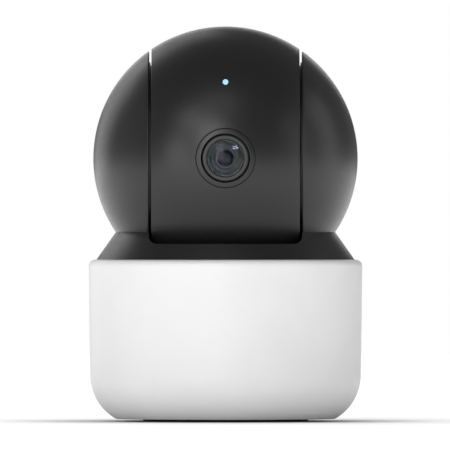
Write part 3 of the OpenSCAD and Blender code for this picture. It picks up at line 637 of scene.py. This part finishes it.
def lens_bezel():
    """The ring round the lens: its face follows the ball, and both its edges are rounded."""
    inner_y, outer_y = -out_at(BALL_R, BEZEL_IN_R), -out_at(BALL_R, BEZEL_R)
    flange_r, flange_low, flange_high = BEZEL_R + 1.0 * MM, outer_y + 2.4 * MM, outer_y + 3.3 * MM
    face = [(-out_at(BALL_R, r), r) for r in (7.3 * MM, 7.6 * MM, 7.9 * MM)]
    outline = rounded(
        [
            (inner_y + 3.6 * MM, BEZEL_IN_R), (inner_y, BEZEL_IN_R, 0.2 * MM),
            *face,
            (outer_y, BEZEL_R, 0.16 * MM), (flange_low, BEZEL_R), (flange_low, flange_r),
            (flange_high, flange_r), (flange_high, BEZEL_IN_R),
        ],
        4,
    )
    obj = lathe("lens_ring", outline, "Y", HEAD)
    smooth(obj)
    return dress(obj, "black_plastic", "drum", "lens_bezel")


def lens_barrel():
    """The lens barrel, with a bevelled nose, a bore that narrows to the aperture and a threaded body."""
    front = low("lens_barrel").y
    barrel_r, glass_seat_r, iris_r, thread_r = 6.55 * MM, 5.35 * MM, 2.4 * MM, 6 * MM
    points = [
        (1.5 * MM, glass_seat_r), (0.2 * MM, glass_seat_r, 0.1 * MM), (0, glass_seat_r + 0.2 * MM, 0.1 * MM),
        (0, barrel_r - 0.25 * MM, 0.2 * MM), (0.25 * MM, barrel_r, 0.15 * MM), (3 * MM, barrel_r, 0.1 * MM),
        (3 * MM, thread_r),
    ]
    pitch, turns = 0.5 * MM, 20
    for k in range(turns):
        root = 3.2 * MM + pitch * k
        points += [(root, thread_r - 0.02 * MM), (root + pitch / 2, thread_r - 0.28 * MM)]
    points += [
        (15 * MM, thread_r), (15 * MM, 3.4 * MM), (6.2 * MM, 3.4 * MM), (5.9 * MM, iris_r + 0.15 * MM),
        (5.2 * MM, iris_r + 0.15 * MM), (1.5 * MM, 4.9 * MM),
    ]
    obj = lathe("lens_nose", rounded(points, 3), "Y", HEAD + Vector((0, front, 0)))
    smooth(obj, 30)
    return dress(obj, "lens_metal", "drum", "lens_barrel")


def lens_funnel():
    """The satin cone inside the barrel that narrows to the aperture's rolled rim."""
    front = low("lens_barrel").y
    iris_r, mouth_r, skin, fine = 2.4 * MM, 4.85 * MM, 0.12 * MM, 0.1 * MM
    outline = rounded(
        [
            (1.52 * MM, mouth_r), (1.52 * MM, mouth_r - skin), (3.3 * MM, 3.75 * MM, 0.3 * MM),
            (3.45 * MM, 3.5 * MM, fine), (4.9 * MM, iris_r + 0.3 * MM, fine),
            (4.75 * MM, iris_r + 0.12 * MM, fine), (4.85 * MM, iris_r - 0.05 * MM, 0.12 * MM),
            (5.3 * MM, iris_r, fine), (5.3 * MM, iris_r + 0.14 * MM),
        ],
        5,
    )
    obj = lathe("lens_funnel", outline, "Y", HEAD + Vector((0, front, 0)), 144)
    smooth(obj, 50)
    return dress(obj, "lens_cone", "drum", "lens_barrel")


def lens_element(name, node, front, radius, bulge, centre_t, hollow, look):
    """A glass element: a domed front, a back that is hollow or, below 0, domed, and a ground edge."""
    dome_r = (radius**2 + bulge**2) / (2 * bulge)
    count, ground = 28, 0.93
    outline = []
    for k in range(count + 1):
        r = radius * k / count
        outline.append((front + dome_r - math.sqrt(dome_r**2 - r**2), r))
    back_r = (radius**2 + hollow**2) / (2 * abs(hollow))
    for k in range(count + 1):
        r = radius * ground * (1 - k / count)
        sag = math.copysign(back_r - math.sqrt(back_r**2 - r**2), hollow)
        outline.append((front + centre_t + sag, r))
    obj = lathe(name, outline, "Y", HEAD, 128)
    smooth(obj)
    return dress(obj, look, "drum", node)


# ---- Base ----


def base_shell():
    """The white cup: drafted wall, rolled rim, deep bottom round, screw posts and the rear openings."""
    draft, bottom_round, round_share = 0.36 * MM, 14 * MM, 0.883
    low_r = BASE_R - draft
    round_z = BASE_LOW + round_share * bottom_round
    arc_x = low_r - bottom_round
    rim = 1.9 * MM
    mouth_r = BASE_R - WALL_T
    opening_r = COVER_R + 0.1 * MM

    def corner(radius, z_from, z_to, count):
        """The bottom round's outline between two heights, as (height, distance out)."""
        found = []
        for k in range(count + 1):
            z = z_from + (z_to - z_from) * k / count
            dz = min(radius, round_z - z)
            found.append((z, arc_x + math.sqrt(max(0, radius**2 - dz**2))))
        return found

    # No fillets here: rounded() only brings the points to the precision that a mesh stores
    outline = [(BASE_LOW, opening_r)]
    outline += rounded(corner(bottom_round, BASE_LOW, round_z, 40))
    outline += [(BASE_TOP - rim, BASE_R)]
    for k in range(1, 11):
        a = math.radians(9 * k)
        outline.append((BASE_TOP - rim + rim * math.sin(a), BASE_R - rim + rim * math.cos(a)))
    outline += [(BASE_TOP - 0.25 * MM, mouth_r), (BASE_TOP - rim, mouth_r)]
    inner = corner(bottom_round - WALL_T, COVER_TOP + 0.4 * MM, round_z, 30)
    outline += inner[::-1]
    outline += [(COVER_TOP, opening_r)]
    obj = lathe("base_cup", outline, "Z", (0, 0, 0), 256)

    # Screw posts for the bottom cover, each with a rib to the wall
    posts = []
    post_low, post_high, post_at = COVER_TOP, low("pan_deck").z + 2 * MM, COVER_R - 2.1 * MM
    bore_r, post_r, rib_y = 1 * MM, 3 * MM, 1.2 * MM
    post_angles = (30, 150, 225, 315)
    for angle in post_angles:
        turn = Matrix.Rotation(math.radians(angle), 4, "Z")
        sleeve = [(post_low, bore_r), (post_low, post_r), (post_high, post_r), (post_high, bore_r)]
        post = lathe("post", rounded(sleeve), "Z", (post_at, 0, 0), 40)
        rib_low = (post_at + 2.8 * MM, -rib_y, round_z + 1 * MM)
        rib = block("rib", rib_low, (low_r - 1 * MM, rib_y, post_high))
        for piece in (post, rib):
            piece.data.transform(turn)
            posts.append(piece)
    fuse(obj, *posts)

    def middle(corners):
        """The middle of a CAD node's box, as X and Z."""
        return (corners[0][0] + corners[1][0]) / 2, (corners[0][2] + corners[1][2]) / 2

    # Rear openings: power inlet, card slot, reset button and speaker slots
    usb_z = middle(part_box("usb_socket"))[1]
    card_x, card_z = middle(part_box("memory_card"))
    button_x = middle(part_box("reset_button"))[0]
    speaker_z = middle(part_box("speaker"))[1]
    openings = [
        ("inlet", rounded_rectangle(12 * MM, 7 * MM, 1.5 * MM), 0, usb_z),
        ("card", rounded_rectangle(12.4 * MM, 1.9 * MM, 0.5 * MM), card_x, card_z),
        ("reset", rounded_rectangle(3 * MM, 3 * MM, 1.49 * MM, 12), button_x, usb_z),
    ]
    slot, slots_each_side, slot_pitch = rounded_rectangle(1.2 * MM, 7 * MM, 0.55 * MM, 5), 3, 2.5
    for i in range(-slots_each_side, slots_each_side + 1):
        openings.append(("grille", slot, i * slot_pitch * MM, speaker_z))
    cut_from, cut_to = 20 * MM, 60 * MM
    cut(obj, *[prism(name, shape, cut_from, cut_to, (x, 0, z)) for name, shape, x, z in openings])
    smooth(obj, bevel=FINE_EDGE)
    return dress(obj, "white_plastic", "base", "base_shell")


pieces = [
    cheek("left"), cheek("right"), front_shell(), rear_shell(), collar(), lens_bezel(), lens_barrel(),
    lens_element(
        "front_glass", "front_lens", low("front_lens").y,
        radius=5.3 * MM, bulge=0.9 * MM, centre_t=1.1 * MM, hollow=1.0 * MM, look="lens_glass",
    ),
    lens_element(
        "rear_glass", "inner_lens", low("inner_lens").y - 0.9 * MM,
        radius=2.35 * MM, bulge=0.8 * MM, centre_t=2.0 * MM, hollow=-0.3 * MM, look="pupil_glass",
    ),
    lens_funnel(),
    base_shell(),
]

# ---- Materials of the CAD nodes that stay ----

slot_of = {part["node"]: part["material_slot"] for part in frame["record"]["subparts"]}
for node, obj in frame["nodes"].items():
    dress(obj, slot_of[node])

# ---- Stage ----


LIGHTS = {
    # name: azimuth and elevation in degrees, distance, width and height in metres, power in watts
    "key": (-33, 32, 0.9, 0.3, 0.3, 0.612),
    "key_low": (-42, 6, 1.0, 0.3, 0.35, 0.891),
    "front_left": (-12, 14, 1.1, 0.3, 0.7, 3.26),
    "front_high": (-5, 50, 1.0, 0.5, 0.3, 0.405),
    "right_front": (66, 12, 1.0, 0.35, 0.7, 0.558),
    "right": (102, 14, 1.0, 0.4, 0.8, 0.9),
    "left": (-92, 14, 1.0, 0.5, 0.8, 0.264),
    "left_back": (-140, 15, 1.0, 0.55, 0.7, 1.28),
    "left_high": (-160, 36, 1.0, 0.5, 0.4, 0.422),
    "back": (180, 14, 1.3, 0.8, 0.3, 1.16),
}
# The light that only the coated glass receives, with the same six values
GLINT = (19, 21.8, 1.0, 0.17, 0.17, 8.0)
GLINT_COLOUR = (0.6, 0.5, 1.0)
AIM = Vector((0, 0, 0.06))
AMBIENT = 0.185
# The floor's glow: its strength, and the distances from the middle over which it rises. The dim floor inside
# these distances is a painted contact shadow round the object's foot
NEAR_GLOW, NEAR_FROM, NEAR_TO = 0.56, 0.034, 0.065
FAR_GLOW, FAR_FROM, FAR_TO = 0.65, 0.06, 0.25
FLOOR_R, FLOOR_T, FLOOR_Z = 2.5, 0.01, -0.0002
WHITE = (1, 1, 1, 1)


def stage_floor():
    """A pale floor that glows more the further it is from the object, so a painted contact shadow lies round
    its foot.
    """
    outline = [(0, 0), (0, FLOOR_R), (-FLOOR_T, FLOOR_R), (-FLOOR_T, 0)]
    mesh = lathe("floor", outline, "Z", (0, 0, FLOOR_Z), 96)
    n = Nodes("floor", (0.6, 0.6, 0.6), 0.9)
    distance = n.add("ShaderNodeVectorMath", operation="LENGTH")
    n.link(n.coords, distance.inputs[0])
    # Painted shadow: the glow is nil close to the object and rises with distance, so the floor is darker
    # round its foot
    glow = n.add("ShaderNodeMath", operation="ADD")
    n.link(n.spread(distance.outputs["Value"], 0, NEAR_GLOW, NEAR_FROM, NEAR_TO), glow.inputs[0])
    n.link(n.spread(distance.outputs["Value"], 0, FAR_GLOW, FAR_FROM, FAR_TO), glow.inputs[1])
    n.set("Emission Color", WHITE)
    n.link(glow.outputs[0], n.shader.inputs["Emission Strength"])
    mesh.data.materials.append(n.material)


def soft_light(name, azimuth, elevation, distance, width, height, power):
    """An area light aimed at the head. Azimuth 0 is in front of the lens and 90 on the +X side."""
    a, e = math.radians(azimuth), math.radians(elevation)
    away = Vector((math.sin(a) * math.cos(e), -math.cos(a) * math.cos(e), math.sin(e)))
    data = bpy.data.lights.new(name, "AREA")
    data.shape = "RECTANGLE"
    data.size, data.size_y, data.energy = width, height, power
    obj = bpy.data.objects.new(name, data)
    bpy.context.scene.collection.objects.link(obj)
    obj.location = AIM + away * distance
    obj.rotation_mode = "QUATERNION"
    obj.rotation_quaternion = away.to_track_quat("Z", "Y")
    obj.visible_camera = False
    return obj


def studio():
    """An even pale world, the soft lights, and a small violet one that only the coated glass receives."""
    world = bpy.data.worlds.new("studio")
    bpy.context.scene.world = world
    world.use_nodes = True
    tree = world.node_tree
    tree.nodes.clear()
    output = tree.nodes.new("ShaderNodeOutputWorld")
    mix = tree.nodes.new("ShaderNodeMixShader")
    path = tree.nodes.new("ShaderNodeLightPath")
    tree.links.new(path.outputs["Is Camera Ray"], mix.inputs[0])
    for slot, strength in ((1, AMBIENT), (2, 1.0)):
        background = tree.nodes.new("ShaderNodeBackground")
        background.inputs["Strength"].default_value = strength
        background.inputs["Color"].default_value = WHITE
        tree.links.new(background.outputs[0], mix.inputs[slot])
    tree.links.new(mix.outputs[0], output.inputs["Surface"])
    for name, values in LIGHTS.items():
        soft_light(name, *values)
    glint = soft_light("glint", *GLINT)
    glint.data.color = GLINT_COLOUR
    coated = bpy.data.collections.new("coated_glass")
    for obj in pieces:
        if obj.name in ("front_glass", "rear_glass"):
            coated.objects.link(obj)
    glint.light_linking.receiver_collection = coated


def photo_camera():
    """A long lens, level with the middle of the picture, straight in front."""
    distance = 5.0
    picture_width, middle_z, middle_x = 128.34 * MM, 55.76 * MM, -0.14 * MM
    data = bpy.data.cameras.new("camera")
    data.sensor_width = 36
    data.lens = data.sensor_width * distance / picture_width
    data.clip_start, data.clip_end = 0.1, 20
    obj = bpy.data.objects.new("camera", data)
    bpy.context.scene.collection.objects.link(obj)
    obj.location = (middle_x, -distance, middle_z)
    obj.rotation_euler = (math.pi / 2, 0, 0)
    bpy.context.scene.camera = obj


stage_floor()
studio()
photo_camera()
bpy.context.scene.view_settings.view_transform = "Standard"
